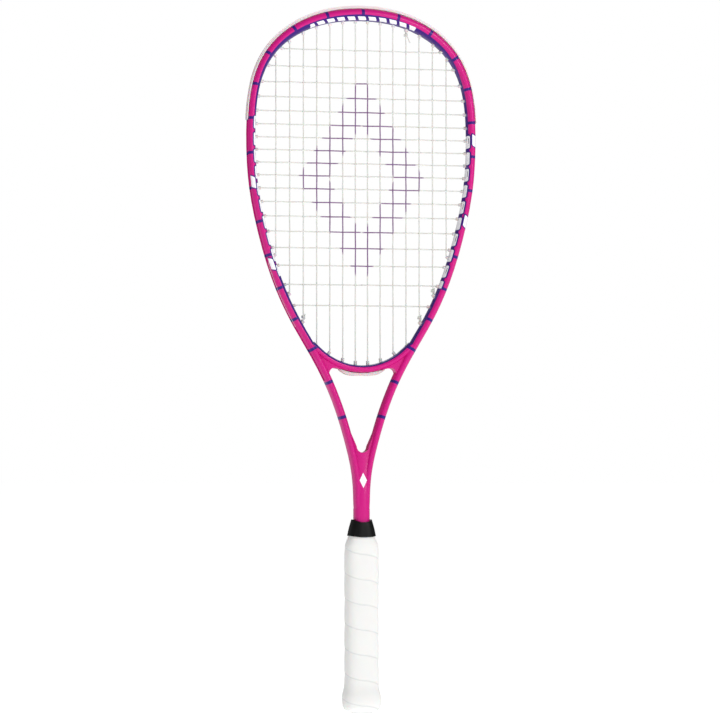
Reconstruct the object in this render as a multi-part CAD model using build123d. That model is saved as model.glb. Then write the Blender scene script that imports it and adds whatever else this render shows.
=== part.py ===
from build123d import *
import os
from math import ceil, copysign, cos, pi, radians, sin, tan

# Squash racket with an open throat, 14 main and 18 cross strings.
# Frame: millimetres, +Z from the butt towards the head, X across the face, Y through the face (-Y is the front).
# The origin is the centre of the butt's end face.

# ---- Driving dimensions -------------------------------------------------------------------------------------
# Outer edge of the frame's right half, from the top of the hoop down to the plain shaft.
FRAME_TOP = 645.5
OUTLINE_POINTS = [
    (0, FRAME_TOP), (45.2, 638), (76, 620), (94.8, 596), (105.2, 560), (107.0, 525), (104.3, 480),
    (96.4, 440), (84.6, 400), (67.1, 360), (49.7, 330), (33.8, 300), (22.1, 270), (13.4, 240),
    (8.4, 212), (7.1, 196), (5.9, 180),
]
SHAFT_TOP = 186.0                # a little above the ends of the tube's legs
SHAFT_FOOT = 7.0                 # the tube's open end, inside the handle
TUBE_POWER = 2.3                 # superellipse power of the tube's section
# Half width and half depth of the tube, from the top of the hoop down to the legs inside the shaft.
TUBE_SIZES = {FRAME_TOP: (5.6, 9.5), 560: (3.9, 9.5), 330: (3.9, 9.5), 290: (3.5, 9.3), 212: (3.5, 9.3),
              182: (2.6, 8.2)}
TUBE_WALL = 1.1
SHAFT_HALF = (7.1, 9.9)
SHAFT_POWER = 2.8
SHAFT_WALL = 1.6
BORE_TOP = 172.0                 # a solid web parts the shaft's hollow from the legs' hollows
# Height, half width and half depth of the neck that joins the legs; its foot is inside the shaft.
NECK_SIZES = [(176, 6.9, 9.7), (196, 6.9, 9.6), (210, 7.3, 8.7), (224, 8.6, 7.6), (236, 11.0, 6.9),
              (256, 15.5, 6.5)]
CROTCH_Z = 237.3                 # bottom of the open throat
CROTCH_RADIUS = 5.6
CROTCH_MOUTH = (11.6, 257.0)     # half width and height where the rounded foot of the throat has opened out

BRIDGE_HALF = (3.6, 9.0)
CORE_REACH = 22.0                # half length of the foam core in the bridge
CORE_GAP = 0.2
BRIDGE_POINTS = [(0, 313.8), (17.5, 316.5), (32.8, 323.8), (47.0, 336.0)]
# Lower edge of the thin web that fills the corner between the bridge and each arm.
CORNER_POINTS = [(30.6, 307.5), (30.9, 311.6), (28.2, 314.4), (23.0, 314.2), (17.0, 313.6)]
CORNER_HALF_DEPTH = 6.6

GROOVE_DEPTH = 3.7               # string groove round the outside of the hoop
GROOVE_HALF_WIDTH = 4.5
GROOVE_END_Z = 303.0
GAP = 0.2                        # clearance between parts that lie on each other
STRIP_THICKNESS = 0.6
STRIP_HALF_WIDTH = 4.4
STRING_LIFT = 0.3                # a string's loop lies this far above the floor of its strip
RAIL_WIDTH = 0.9
BUMPER_PROUD = (2.5, 0.6)        # how far the head guard stands out of the frame, at the top and at its ends
BUMPER_END_Z = 541.5
WING_HALF_WIDTH = 6.0            # the head guard's wings lie on the frame beside the groove
WING_OFFSETS = (-0.15, 0.6)
BARREL_RADIUS = 1.5
BARREL_BORE = 0.95
MOUTH_RADIUS = 1.35              # a grommet's hole is wider where the string turns
MOUTH_DEPTH = 0.35
TIE_EXTRA = 0.45                 # grommets that take two strings are this much larger in radius
TIE_SPREAD = 0.68                # depth of each of the two strings that share a grommet
BARREL_TIP = 2.4                 # how far a grommet barrel stands out inside the hoop
BRIDGE_TIP = 3.6
CORNER_DROP = 15.0               # how far the third main string comes down inside the joint of bridge and arm
THROAT_STRIP_END = 19.6
# Height of the throat strip's rails over its length: each side has a lobe beside its string loop.
THROAT_RAIL = [(0, 5.9), (3.5, 5.9), (7.5, 6.7), (12.0, 6.6), (17.5, 4.6), (THROAT_STRIP_END, 4.4)]

STRING_RADIUS = 0.575
MAIN_X = [5.7 + 11.7 * j + 0.11 * j * j for j in range(7)]
# The cross strings lie closer together in the middle of the face.
CROSS_Z = [519.75 - 11.61 * t + 0.079 * t**2 - 0.03 * t**3 for t in [k - 6.5 for k in range(18)]]
MAIN_WEAVE = 0.5                 # how far a string leaves the face's middle plane at a crossing
CROSS_WEAVE = 0.92
WEAVE_BEND = 3.0                 # bending radius of a string at a crossing
LOOP_BEND = 0.8                  # and where it turns into the groove
LANE = 1.45                      # depth at which loops run in the groove
OUTER_LANE = 2.9
KNOT_RADIUS = 1.45               # coil of a tie-off knot round its main string
KNOT_PITCH = 1.4
KNOT_TURNS = 2.25
KNOT_TAIL = Vector(2.6, 0.6, -5.4)
SHORT_TAIL = Vector(0.4, 0.6, 1.4)

HANDLE_POWER = 3.0
# Outside of the grip tape: height, half width and half depth.
HANDLE_HALF = (15.3, 13.9)          # where the handle is straight
GRIP_PROFILE = [
    (1.2, 12.9, 11.7), (2.4, 14.9, 13.6), (4.4, 16.4, 15.0), (7.2, 17.3, 15.9), (11.0, 17.7, 16.3),
    (16.0, 17.3, 15.9), (21.5, 15.9, 14.5), (26.5, *HANDLE_HALF), (146.0, *HANDLE_HALF), (153.0, 14.7, 13.8),
    (158.5, 12.5, 13.2), (161.0, 11.4, 12.8), (166.0, 10.2, 12.3),
]
TAPE_THICKNESS = 1.7
CAP_WALL = 1.3
CAP_FLOOR = 3.4
CAP_TOP = 24.0
CAP_EDGE = 1.2                   # the cap's lower edge is rounded by this much
STAPLE_Z = 18.0
STAPLE_SIZE = (4.6, 10.0, 1.0)   # leg length, crown length and width
STAPLE_WIRE = 0.6
STAPLE_FACE = 12.9
# Bottom, top, thickness and clearance of the finishing tape.
FINISHING_TAPE = (161.0, 167.5, 0.3, 0.05)
PLUG_LENGTH = 15.0
COLLAR_CLEARANCE = 0.08
# Outside and inside of the rubber collar: height, half width and half depth.
COLLAR_OUTSIDE = [(160.2, 12.8, 14.4), (168.0, 11.2, 13.2), (176.8, 8.7, 11.3)]
COLLAR_INSIDE = [(159.0, 12.35, 13.85), (161.0, 12.0, 13.5), (167.0, 10.75, 12.95), (168.2, 10.4, 12.6)]
COLLAR_TOP_DIP = 3.0             # the upper rim is lower at the front and back than at the sides
COLLAR_FOOT_RISE = 1.4           # the lower rim is higher at the sides

SECTION_POINTS = 16
KNOT_POINTS = 10                 # corners in one turn of a knot
STATION_STEP = 24.0              # distance between the sections that a tube is lofted through


# ---- Outline geometry ---------------------------------------------------------------------------------------
OUTLINE = Spline(*[Vector(x, 0, z) for x, z in OUTLINE_POINTS], tangents=[(1, 0, 0), (-0.05, 0, -1)])
BRIDGE_LINE = Spline(*[Vector(x, 0, z) for x, z in BRIDGE_POINTS], tangents=[(1, 0, 0), (0.72, 0, 0.69)])


def solve(rises, low, high):
    """The value between low and high at which the rising function crosses zero."""
    for _ in range(45):
        middle = (low + high) / 2
        if rises(middle) < 0:
            low = middle
        else:
            high = middle
    return (low + high) / 2


def outline_at(s):
    """Point and outward normal on the outline, s from the top of the hoop; a negative s is the left side."""
    point = OUTLINE.position_at(abs(s), PositionMode.LENGTH)
    tangent = OUTLINE.tangent_at(abs(s), PositionMode.LENGTH)
    side = copysign(1, s)
    return Vector(side * point.X, 0, point.Z), Vector(-side * tangent.Z, 0, tangent.X)


def off_outline(s, u, y=0.0):
    """The point u outside the outline at s, at depth y."""
    point, normal = outline_at(s)
    return point + normal * u + Vector(0, y, 0)


def arc_at_height(z):
    """Arc length from the top at which the outline has height z."""
    return solve(lambda s: z - outline_at(s)[0].Z, 0, OUTLINE.length)


def arc_nearest(point):
    """Arc length of the place on the right half of the outline that is nearest to a point."""
    def ahead(s):
        place, normal = outline_at(s)
        return (place - point).dot(Vector(normal.Z, 0, -normal.X))
    return solve(ahead, 0, OUTLINE.length)


def eased(x, pairs):
    """Smooth value at x through (x, value) pairs in rising order of x."""
    if x <= pairs[0][0]:
        return pairs[0][1]
    for (x0, y0), (x1, y1) in zip(pairs, pairs[1:]):
        if x <= x1:
            t = (x - x0) / (x1 - x0)
            return y0 + (y1 - y0) * t * t * (3 - 2 * t)
    return pairs[-1][1]


SIZE_STATIONS = [(arc_at_height(z), size) for z, size in TUBE_SIZES.items()]
GROOVE_END = arc_at_height(GROOVE_END_Z)
BUMPER_END = arc_at_height(BUMPER_END_Z)


def half_width(s):
    return eased(abs(s), [(at, size[0]) for at, size in SIZE_STATIONS])


def half_depth(s):
    return eased(abs(s), [(at, size[1]) for at, size in SIZE_STATIONS])


def superellipse(centre, across, along, width, depth, power):
    """Smooth closed face round centre; width and depth are its half sizes along two directions."""
    points = []
    for i in range(SECTION_POINTS):
        angle = 2 * pi * (i / SECTION_POINTS + 1 / 8)
        c, s = cos(angle), sin(angle)
        u = width * copysign(abs(c) ** (2 / power), c)
        v = depth * copysign(abs(s) ** (2 / power), s)
        points.append(centre + across * u + along * v)
    return Face(Wire(Spline(*points, periodic=True)))


def level_section(z, width, depth, power):
    """Superellipse in the horizontal plane at height z."""
    return superellipse(Vector(0, 0, z), Vector(1, 0, 0), Vector(0, 1, 0), width, depth, power)


def evenly(start, end, step):
    """Evenly spaced values from start to end, no further apart than step."""
    count = max(2, ceil(abs(end - start) / step))
    return [start + (end - start) * i / count for i in range(count + 1)]


def constant(value):
    return lambda s: value


def band(place, s0, s1, inner, outer, y0, y1):
    """A strip that follows place(s, offset, y), between the offsets inner(s) and outer(s), from y0 to y1."""
    stations = evenly(s0, s1, 10)
    lower = Spline(*[place(s, inner(s), y0) for s in stations])
    upper = Spline(*[place(s, outer(s), y0) for s in stations])
    ends = [Line(lower @ 0, upper @ 0), Line(lower @ 1, upper @ 1)]
    return extrude(Face(Wire([lower, upper, *ends])), y1 - y0, dir=(0, 1, 0))


def mirrored(shape):
    return shape.mirror(Plane.YZ)


def rod(start, end, radius):
    """A plain cylinder from start to end."""
    along = end - start
    return Solid.make_cylinder(radius, along.length, Plane(origin=start, z_dir=along))


def lengthened(start, end, before, after):
    """The same line, made longer at both ends."""
    along = (end - start).normalized()
    return start - along * before, end + along * after


# ---- Where each string passes through the frame --------------------------------------------------------------
FLOOR_TOP = -GROOVE_DEPTH + GAP + STRIP_THICKNESS
STRING_SEAT = FLOOR_TOP + STRING_LIFT + STRING_RADIUS
THROAT_FLOOR = BRIDGE_HALF[0] + GAP + STRIP_THICKNESS
THROAT_SEAT = THROAT_FLOOR + STRING_LIFT + STRING_RADIUS


def hoop_passage(direction, start, reached):
    """Inner tip and groove point of a string that meets the hoop; reached(tip) rises through zero with s."""
    def tip_at(s):
        return off_outline(s, -2 * half_width(s) - BARREL_TIP)
    s = solve(lambda s: reached(tip_at(s)), *start)
    tip = tip_at(s)
    normal = outline_at(s)[1]
    axis = (normal * 0.6 + direction * 0.4).normalized()
    reach = (2 * half_width(s) + BARREL_TIP + STRING_SEAT) / axis.dot(normal)
    return tip, off_outline(arc_nearest(tip + axis * reach), STRING_SEAT)


def bridge_at(x):
    """Centre of the bridge at x and its normal away from the strings."""
    t = solve(lambda t: (BRIDGE_LINE @ t).X - abs(x), 0, 1)
    point, tangent = BRIDGE_LINE @ t, BRIDGE_LINE % t
    side = copysign(1, x)
    return Vector(x, 0, point.Z), Vector(side * tangent.Z, 0, -tangent.X)


def off_bridge(x, u, y=0.0):
    """The point at distance u below the bridge's centre line, at depth y."""
    point, normal = bridge_at(x)
    return point + normal * u + Vector(0, y, 0)


def bridge_tip(x):
    """Where a main string leaves its grommet above the bridge."""
    centre, normal = bridge_at(x)
    return Vector(x, 0, centre.Z - BRIDGE_HALF[0] / normal.Z + BRIDGE_TIP)


def bridge_passage(x):
    """Inner tip and lower end of a main string that passes through the bridge."""
    return bridge_tip(x), off_bridge(x, THROAT_SEAT)


def corner_passage(x):
    """The third main string runs down through the joint of bridge and arm, and leaves outside the arm."""
    tip = bridge_tip(x)
    return tip, off_outline(arc_at_height(tip.Z - CORNER_DROP), STRING_SEAT)


SIDE_ARC = arc_at_height(530)
UP, DOWN, OUT = Vector(0, 0, 1), Vector(0, 0, -1), Vector(1, 0, 0)
MAIN_TOP = [hoop_passage(UP, (0, SIDE_ARC), lambda p, x=x: p.X - x) for x in MAIN_X]
MAIN_BOTTOM = [bridge_passage(x) for x in MAIN_X[:2]] + [corner_passage(MAIN_X[2])] + [
    hoop_passage(DOWN, (SIDE_ARC, GROOVE_END), lambda p, x=x: x - p.X) for x in MAIN_X[3:]]
CROSS_END = [hoop_passage(OUT, (0, GROOVE_END), lambda p, z=z: z - p.Z) for z in CROSS_Z]
BUMPER_PASSAGES = [p for p in MAIN_TOP + CROSS_END if p[1].Z > BUMPER_END_Z]
SIDE_PASSAGES = [p for p in CROSS_END if p[1].Z < BUMPER_END_Z] + MAIN_BOTTOM[2:]
THROAT_PASSAGES = MAIN_BOTTOM[:2]
TIE_PASSAGES = [MAIN_TOP[3], MAIN_BOTTOM[4], MAIN_BOTTOM[5]]


# ---- Frame --------------------------------------------------------------------------------------------------
def hairpin():
    """Outside of the moulded tube: up one arm, round the hoop and down the other."""
    sections = []
    for s in evenly(-OUTLINE.length, OUTLINE.length, STATION_STEP):
        normal = outline_at(s)[1]
        centre = off_outline(s, -half_width(s))
        sections.append(superellipse(centre, normal, Vector(0, 1, 0), half_width(s), half_depth(s), TUBE_POWER))
    return loft(sections)


def cavity_limits(s):
    """Outer and inner offset of the hollow, which keeps its wall under the string groove."""
    groove = eased(abs(s), [(GROOVE_END - 12, GROOVE_DEPTH), (GROOVE_END + 12, 0)])
    return -TUBE_WALL - groove, TUBE_WALL - 2 * half_width(s)


def cavity():
    """The hollow inside the hairpin tube."""
    sections = []
    for s in evenly(-OUTLINE.length, OUTLINE.length, STATION_STEP):
        outer, inner = cavity_limits(s)
        centre = off_outline(s, (outer + inner) / 2)
        sections.append(superellipse(centre, outline_at(s)[1], Vector(0, 1, 0), (outer - inner) / 2,
                                     half_depth(s) - TUBE_WALL, TUBE_POWER))
    return loft(sections)


def shaft():
    """Straight shaft with a hollow that is open at the foot."""
    inside = [size - SHAFT_WALL for size in SHAFT_HALF]
    bore = extrude(level_section(SHAFT_FOOT, *inside, SHAFT_POWER), BORE_TOP - SHAFT_FOOT, dir=UP)
    return extrude(level_section(SHAFT_FOOT, *SHAFT_HALF, SHAFT_POWER), SHAFT_TOP - SHAFT_FOOT, dir=UP) - bore


def neck():
    """Recessed web between the legs up to the crotch."""
    solid = loft([level_section(z, width, depth, SHAFT_POWER) for z, width, depth in NECK_SIZES])
    centre_z = CROTCH_Z + CROTCH_RADIUS
    half_mouth, mouth_z = CROTCH_MOUTH
    foot = ThreePointArc((-CROTCH_RADIUS, 0, centre_z), (0, 0, CROTCH_Z), (CROTCH_RADIUS, 0, centre_z))
    sides = [Line(foot @ 1, (half_mouth, 0, mouth_z)), Line((half_mouth, 0, mouth_z), (-half_mouth, 0, mouth_z)),
             Line((-half_mouth, 0, mouth_z), foot @ 0)]
    return solid - extrude(Face(Wire([foot, *sides])), 20, dir=(0, 1, 0), both=True)


def bridge(reach, wall):
    """The bar across the throat out to x = reach on both sides, wall thinner all round than its outside."""
    sections = []
    for x in evenly(-reach, reach, 10):
        centre, normal = bridge_at(x)
        sections.append(superellipse(centre, normal, Vector(0, 1, 0), BRIDGE_HALF[0] - wall,
                                     BRIDGE_HALF[1] - wall, TUBE_POWER))
    return loft(sections)


def corner_web():
    """Thin filling of the corner between the bridge and the right arm."""
    edge = Spline(*[Vector(x, -CORNER_HALF_DEPTH, z) for x, z in CORNER_POINTS])
    joint = Vector(BRIDGE_POINTS[-1][0], -CORNER_HALF_DEPTH, BRIDGE_POINTS[-1][1])
    face = Face(Wire([edge, Line(edge @ 1, joint), Line(joint, edge @ 0)]))
    return extrude(face, 2 * CORNER_HALF_DEPTH, dir=(0, 1, 0))


def passage_rods(passages, radius, before=0.0, after=0.0):
    """Cylinders along the right half's string passages; shared grommets are larger."""
    rods = []
    for passage in passages:
        extra = TIE_EXTRA if passage in TIE_PASSAGES else 0.0
        rods.append(rod(*lengthened(*passage, before, after), radius + extra))
    return rods


def both_sides(shapes):
    return shapes + [mirrored(shape) for shape in shapes]


def bridge_core():
    """Foam core round which the bridge is moulded."""
    return bridge(CORE_REACH, TUBE_WALL + CORE_GAP) - both_sides(
        passage_rods(THROAT_PASSAGES, BARREL_RADIUS + GAP, 0, 3))


def frame():
    web = corner_web()
    solid = hairpin() + [bridge(BRIDGE_POINTS[-1][0], 0), web, mirrored(web), neck(), shaft()]
    solid -= [cavity(), bridge(CORE_REACH, TUBE_WALL)]
    solid -= band(off_outline, -GROOVE_END, GROOVE_END, constant(-GROOVE_DEPTH), constant(3.0),
                  -GROOVE_HALF_WIDTH, GROOVE_HALF_WIDTH)
    holes = passage_rods(BUMPER_PASSAGES + SIDE_PASSAGES + THROAT_PASSAGES, BARREL_RADIUS + GAP, 0, 3)
    return solid - both_sides(holes)


# ---- Grommet strips and head guard ---------------------------------------------------------------------------
def with_barrels(strip, passages, floor_gap):
    """A strip with a grommet barrel and a bored hole for each passage; floor_gap is from seat to floor."""
    strip += passage_rods(passages, BARREL_RADIUS, 0, -floor_gap - STRIP_THICKNESS / 2)
    strip -= passage_rods(passages, BARREL_BORE, 1, 3)
    mouths = [(seat + (tip - seat).normalized() * (floor_gap + MOUTH_DEPTH), seat) for tip, seat in passages]
    return strip - passage_rods(mouths, MOUTH_RADIUS)


def side_strip():
    """Right grommet strip, from the end of the head guard down to the throat."""
    floor = band(off_outline, BUMPER_END + 1, GROOVE_END - 1, constant(-GROOVE_DEPTH + GAP),
                 constant(FLOOR_TOP), -STRIP_HALF_WIDTH, STRIP_HALF_WIDTH)
    return with_barrels(floor, SIDE_PASSAGES, STRING_SEAT - FLOOR_TOP)


def rail_top(s):
    return eased(abs(s), [(BUMPER_END / 3, BUMPER_PROUD[0]), (BUMPER_END, BUMPER_PROUD[1])])


def bumper_guard():
    """Head guard: floor, two rails and two wings, with its grommet barrels."""
    floor, under = constant(FLOOR_TOP), constant(-GROOVE_DEPTH + GAP)
    edge = STRIP_HALF_WIDTH - RAIL_WIDTH
    ends = (-BUMPER_END, BUMPER_END)
    guard = band(off_outline, *ends, under, floor, -STRIP_HALF_WIDTH, STRIP_HALF_WIDTH)
    for y0, y1 in ((edge, STRIP_HALF_WIDTH), (-STRIP_HALF_WIDTH, -edge)):
        guard += band(off_outline, *ends, under, rail_top, y0, y1)
    for y0, y1 in ((edge, WING_HALF_WIDTH), (-WING_HALF_WIDTH, -edge)):
        guard += band(off_outline, *ends, constant(WING_OFFSETS[0]), constant(WING_OFFSETS[1]), y0, y1)
    return with_barrels(guard, BUMPER_PASSAGES + mirrored_passages(BUMPER_PASSAGES), STRING_SEAT - FLOOR_TOP)


def throat_rail_top(x):
    return eased(abs(x), THROAT_RAIL)


def throat_strip():
    """Grommet strip under the bridge, a channel with four barrels."""
    inner, floor = constant(BRIDGE_HALF[0] + GAP), constant(THROAT_FLOOR)
    edge = STRIP_HALF_WIDTH - RAIL_WIDTH
    ends = (-THROAT_STRIP_END, THROAT_STRIP_END)
    strip = band(off_bridge, *ends, inner, floor, -STRIP_HALF_WIDTH, STRIP_HALF_WIDTH)
    for y0, y1 in ((edge, STRIP_HALF_WIDTH), (-STRIP_HALF_WIDTH, -edge)):
        strip += band(off_bridge, *ends, inner, throat_rail_top, y0, y1)
    return with_barrels(strip, THROAT_PASSAGES + mirrored_passages(THROAT_PASSAGES), THROAT_SEAT - THROAT_FLOOR)


# ---- Strings --------------------------------------------------------------------------------------------------
def flip(point):
    return Vector(-point.X, point.Y, point.Z)


def sweep_string(corners):
    """Round string along straight runs, bent at each corner; corners are (point, bending radius) pairs."""
    edges = []
    cursor = corners[0][0]
    for (before, _), (corner, bend), (after, _) in zip(corners, corners[1:], corners[2:]):
        arriving, leaving = corner - before, after - corner
        half_turn = radians(arriving.get_angle(leaving)) / 2
        if half_turn < 0.004:
            continue
        reach = min(bend * tan(half_turn), 0.45 * arriving.length, 0.45 * leaving.length)
        arriving, leaving = arriving.normalized(), leaving.normalized()
        sagitta = reach / tan(half_turn) * (1 / cos(half_turn) - 1)
        start, end = corner - arriving * reach, corner + leaving * reach
        edges.append(Line(cursor, start))
        edges.append(ThreePointArc(start, corner + (leaving - arriving).normalized() * sagitta, end))
        cursor = end
    edges.append(Line(cursor, corners[-1][0]))
    path = Wire(edges)
    return sweep(Plane(origin=path @ 0, z_dir=path % 0) * Circle(STRING_RADIUS), path=path)


def at_depth(point, y):
    return Vector(point.X, y, point.Z)


def seat_arc(seat):
    """Signed arc length of a groove point."""
    return copysign(arc_nearest(Vector(abs(seat.X), 0, seat.Z)), seat.X)


def groove_run(start, end, y):
    """Corners of a loop that runs in the groove between two groove points, at depth y."""
    s0, s1 = seat_arc(start), seat_arc(end)
    inset = copysign(1.9, s1 - s0)
    return [(off_outline(s, STRING_SEAT, y), LOOP_BEND) for s in evenly(s0 + inset, s1 - inset, 8)]


def bridge_run(start, end, y):
    """Corners of a loop that runs under the bridge."""
    inset = copysign(1.9, end.X - start.X)
    return [(off_bridge(x, THROAT_SEAT, y), LOOP_BEND) for x in evenly(start.X + inset, end.X - inset, 6)]


def passage_corners(passage, y):
    """Corners from the face out to the groove through one passage, at depth y."""
    tip, seat = passage
    return [(at_depth(tip, y), WEAVE_BEND / 2), (at_depth(seat, y), LOOP_BEND)]


def main_order(j, side):
    """Place of a main string counted from the left edge of the face."""
    return 7 + j if side > 0 else 6 - j


def over(order, k):
    """+1 where the main string passes behind the cross string k, -1 where it passes in front."""
    return 1 if (order + k) % 2 else -1


def main_crossings(j, side):
    """Corners of a main string at the cross strings, from the top down."""
    top, bottom = MAIN_TOP[j][0].Z, MAIN_BOTTOM[j][0].Z
    order = main_order(j, side)
    return [(Vector(side * MAIN_X[j], MAIN_WEAVE * over(order, k), z), WEAVE_BEND)
            for k, z in enumerate(CROSS_Z) if bottom + 1 < z < top - 1]


def cross_crossings(k):
    """Corners of a cross string at the main strings, from left to right."""
    corners = []
    for side, js in ((-1, range(6, -1, -1)), (1, range(7))):
        for j in js:
            if MAIN_BOTTOM[j][0].Z + 1 < CROSS_Z[k] < MAIN_TOP[j][0].Z - 1:
                y = -CROSS_WEAVE * over(main_order(j, side), k)
                corners.append((Vector(side * MAIN_X[j], y, CROSS_Z[k]), WEAVE_BEND))
    return corners


def sided(passage, side):
    return passage if side > 0 else (flip(passage[0]), flip(passage[1]))


def mirrored_passages(passages):
    return [sided(passage, -1) for passage in passages]


def knot(tip, y, main_y, towards, turns_down):
    """Corners of a tie-off knot: a coil round the main string beside tip, then a short tail."""
    corners = []
    count = round(KNOT_TURNS * KNOT_POINTS)
    for i in range(1, count + 1):
        angle = 2 * pi * i / KNOT_POINTS
        drop = (1.6 + KNOT_PITCH * i / KNOT_POINTS) * turns_down
        centre_y = main_y + (towards[1] - main_y) * abs(drop) / abs(tip.Z - towards[0])
        offset = Vector(KNOT_RADIUS * sin(angle), copysign(KNOT_RADIUS, y - main_y) * cos(angle), 0)
        corners.append((Vector(tip.X, centre_y, tip.Z - drop) + offset, KNOT_RADIUS))
    return corners + [(corners[-1][0] + (KNOT_TAIL if turns_down > 0 else SHORT_TAIL), 0)]


def tie_off(passage, y, main_y, crossing, upwards):
    """Corners of a string's end: through a shared grommet from the groove, then the knot."""
    tip, seat = passage
    direction = -1 if upwards else 1
    return [(at_depth(seat, y), LOOP_BEND), (at_depth(tip, y), LOOP_BEND)] + knot(
        tip, y, main_y, (crossing.Z, crossing.Y), direction)


def main_half(side):
    """Corners of one half of the main string, from its tie-off to the top of the innermost main."""
    tied, tied_from = sided(MAIN_BOTTOM[4], side), sided(MAIN_BOTTOM[6], side)
    crossing = main_crossings(4, side)[-1][0]
    corners = tie_off(tied, TIE_SPREAD, -TIE_SPREAD, crossing, True)[::-1]
    corners += groove_run(tied[1], tied_from[1], OUTER_LANE)
    for j in range(6, -1, -1):
        top_y = TIE_SPREAD if (j, side) == (3, 1) else 0
        bottom_y = -TIE_SPREAD if j == 4 or (j, side) == (5, 1) else 0
        top = passage_corners(sided(MAIN_TOP[j], side), top_y)
        bottom = passage_corners(sided(MAIN_BOTTOM[j], side), bottom_y)
        if j % 2 == 0:
            corners += bottom[::-1] + main_crossings(j, side)[::-1] + top
        else:
            corners += top[::-1] + main_crossings(j, side) + bottom
        if j == 0:
            break
        ends = MAIN_TOP if j % 2 == 0 else MAIN_BOTTOM
        start, end = sided(ends[j], side)[1], sided(ends[j - 1], side)[1]
        if j == 1:
            corners += bridge_run(start, end, 0)
        else:
            corners += groove_run(start, end, -LANE if (j % 2, j) == (1, 5) else LANE)
    return corners


def main_string():
    """All fourteen mains in one length, tied off at both lower corners."""
    left, right = main_half(-1), main_half(1)
    over_top = groove_run(flip(MAIN_TOP[0][1]), MAIN_TOP[0][1], LANE)
    return sweep_string(left + over_top + right[::-1])


def cross_string():
    """All eighteen crosses in one length, from the lower right corner up to the top right."""
    low = MAIN_BOTTOM[5]
    crossing = main_crossings(5, 1)[-1][0]
    corners = tie_off(low, TIE_SPREAD, -TIE_SPREAD, crossing, True)[::-1]
    corners += groove_run(low[1], CROSS_END[17][1], LANE)
    side = 1
    for k in range(17, -1, -1):
        start, end = sided(CROSS_END[k], side), sided(CROSS_END[k], -side)
        crossings = cross_crossings(k)
        corners += passage_corners(start, 0)[::-1]
        corners += crossings[::-1] if side > 0 else crossings
        corners += passage_corners(end, 0)
        side = -side
        if k:
            # The lowest loop runs behind, clear of the main string's loop beside it.
            lane = LANE if k == len(CROSS_Z) - 1 else -LANE
            corners += groove_run(end[1], sided(CROSS_END[k - 1], side)[1], lane)
    high = MAIN_TOP[3]
    corners += groove_run(CROSS_END[0][1], high[1], -LANE)
    crossing = main_crossings(3, 1)[0][0]
    corners += tie_off(high, -TIE_SPREAD, TIE_SPREAD, crossing, False)
    return sweep_string(corners)


# ---- Handle ---------------------------------------------------------------------------------------------------
def ruled_body(profile, inset=0.0, power=HANDLE_POWER):
    """Closed solid through level sections, inset all round."""
    return loft([level_section(z, width - inset, depth - inset, power) for z, width, depth in profile],
                ruled=True)


def grip_tape():
    """Cushioned tape round the handle, as one sleeve."""
    low, high = GRIP_PROFILE[0][0], GRIP_PROFILE[-1][0]
    sleeve = ruled_body(GRIP_PROFILE)
    inner = [(low - 1, *GRIP_PROFILE[0][1:])] + GRIP_PROFILE + [(high + 1, *GRIP_PROFILE[-1][1:])]
    return sleeve - ruled_body(inner, TAPE_THICKNESS)


def shaft_bar(z0, z1, clearance):
    """The shaft's outside between two heights, with clearance all round."""
    width, depth = SHAFT_HALF[0] + clearance, SHAFT_HALF[1] + clearance
    return extrude(level_section(z0, width, depth, SHAFT_POWER), z1 - z0, dir=UP)


def staple(side, swell=0.0):
    """U-shaped staple with its legs towards the middle."""
    reach, crown, width = STAPLE_SIZE
    thick = STAPLE_WIRE + 2 * swell
    bar = Pos(STAPLE_FACE - STAPLE_WIRE / 2, 0, STAPLE_Z) * Box(thick, crown + 2 * swell, width + 2 * swell)
    for y in (-1, 1):
        leg = Pos(STAPLE_FACE - reach / 2, y * (crown - STAPLE_WIRE) / 2, STAPLE_Z)
        bar += leg * Box(reach + 2 * swell, thick, width + 2 * swell)
    return bar if side > 0 else mirrored(bar)


def handle_body():
    """Outside of handle_pallet and butt_cap together: the tape's inside less a gap."""
    return ruled_body(GRIP_PROFILE, TAPE_THICKNESS + GAP)


def cap_inside(swell):
    """The part of the handle that the butt cap's cup encloses."""
    half = [size - TAPE_THICKNESS - GAP - CAP_WALL + swell for size in HANDLE_HALF]
    return extrude(level_section(CAP_FLOOR + GAP - swell, *half, HANDLE_POWER), CAP_TOP, dir=UP)


def handle_pallet():
    """Foam handle moulded round the shaft's lower end."""
    low = Pos(0, 0, CAP_TOP / 2 - 10) * Box(60, 60, CAP_TOP + 20)
    pallet = (handle_body() - low) + (cap_inside(0) & low)
    pallet -= shaft_bar(SHAFT_FOOT - CORE_GAP, 200, CORE_GAP)
    return pallet - [staple(side, CORE_GAP) for side in (-1, 1)]


def butt_cap():
    """Plastic cup with a flared foot on the end of the pallet."""
    above = Pos(0, 0, CAP_TOP - GAP + 100) * Box(60, 60, 200)
    foot = GRIP_PROFILE[0]
    base = [(0.0, foot[1] - CAP_EDGE, foot[2] - CAP_EDGE), *GRIP_PROFILE[:3]]
    cap = handle_body() + ruled_body(base, TAPE_THICKNESS + GAP)
    cap = cap - above - cap_inside(GAP)
    return cap - [staple(side, CORE_GAP) for side in (-1, 1)]


def butt_cap_staples():
    return Compound(children=[staple(-1), staple(1)])


def shaft_plug():
    """Foam plug in the shaft's open foot."""
    inside = [size - SHAFT_WALL - CORE_GAP for size in SHAFT_HALF]
    return extrude(level_section(SHAFT_FOOT + 0.5, *inside, SHAFT_POWER), PLUG_LENGTH, dir=UP)


def finishing_tape():
    """Thin tape that holds the upper end of the grip tape."""
    low, high, thickness, clearance = FINISHING_TAPE
    *below_end, end = GRIP_PROFILE[-4:]
    around = ruled_body([*below_end, end, (high, *end[1:])], -clearance - thickness)
    within = ruled_body([*below_end, end, (high + 1, *end[1:])], -clearance)
    below = Pos(0, 0, low - 50) * Box(60, 60, 100)
    return around - within - below


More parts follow.
